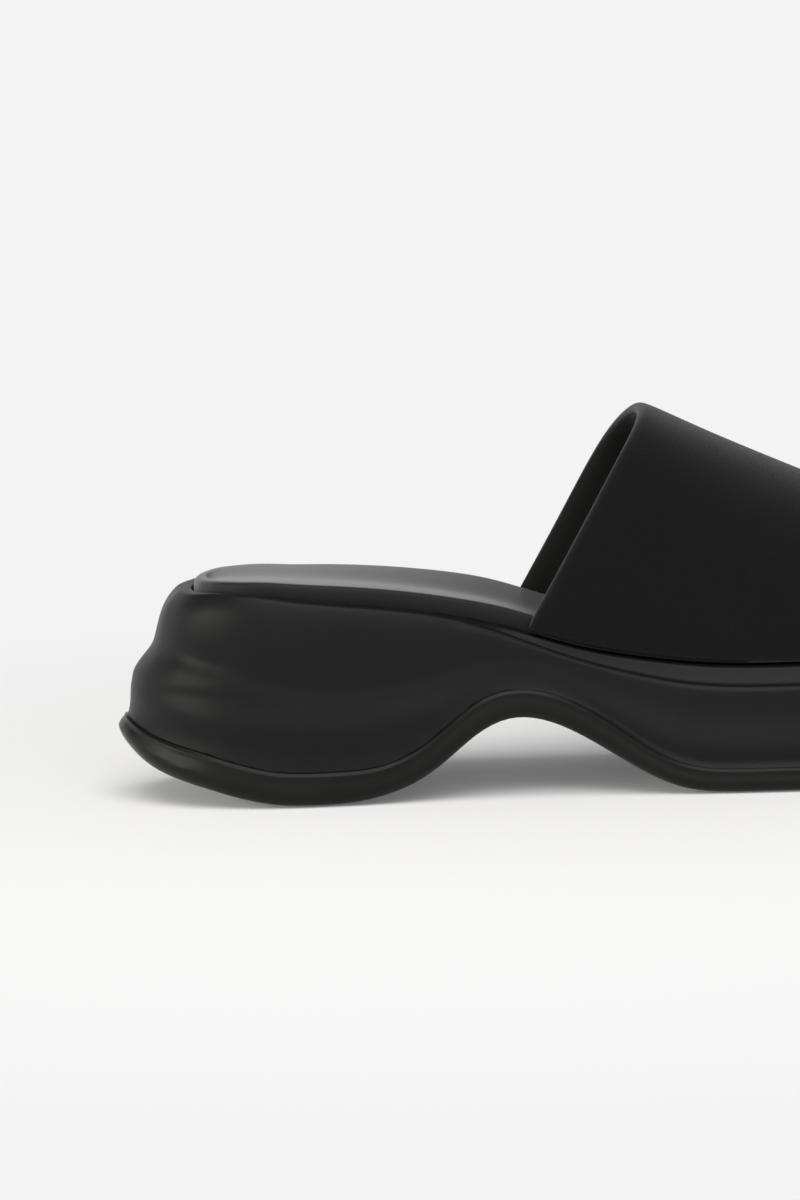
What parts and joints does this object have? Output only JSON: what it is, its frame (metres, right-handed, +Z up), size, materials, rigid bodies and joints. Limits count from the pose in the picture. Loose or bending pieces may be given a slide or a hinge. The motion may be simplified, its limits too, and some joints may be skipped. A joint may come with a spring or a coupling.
{
  "type": "platform mule",
  "caption": "Backless slip-on shoe with a padded closed vamp on a rippled platform sole, with an arched waist and a bevelled heel.",
  "frame": {"origin": "on the floor, under the middle of the shoe's bounding box", "axes": "+X from heel to toe, +Y to the wearer's left, +Z up; the outer side of this right shoe faces -Y"},
  "size_m": [0.2596, 0.0934, 0.1011],
  "materials": {
    "outsole": "satin moulded",
    "midsole": "satin moulded foam",
    "insole": "smooth, soft sheen",
    "upper": "matt stretch fabric over padding"
  },
  "bodies": {
    "root": {"outsole": "outsole", "midsole": "midsole", "insole": "insole", "upper": "upper"}
  },
  "joints": []
}
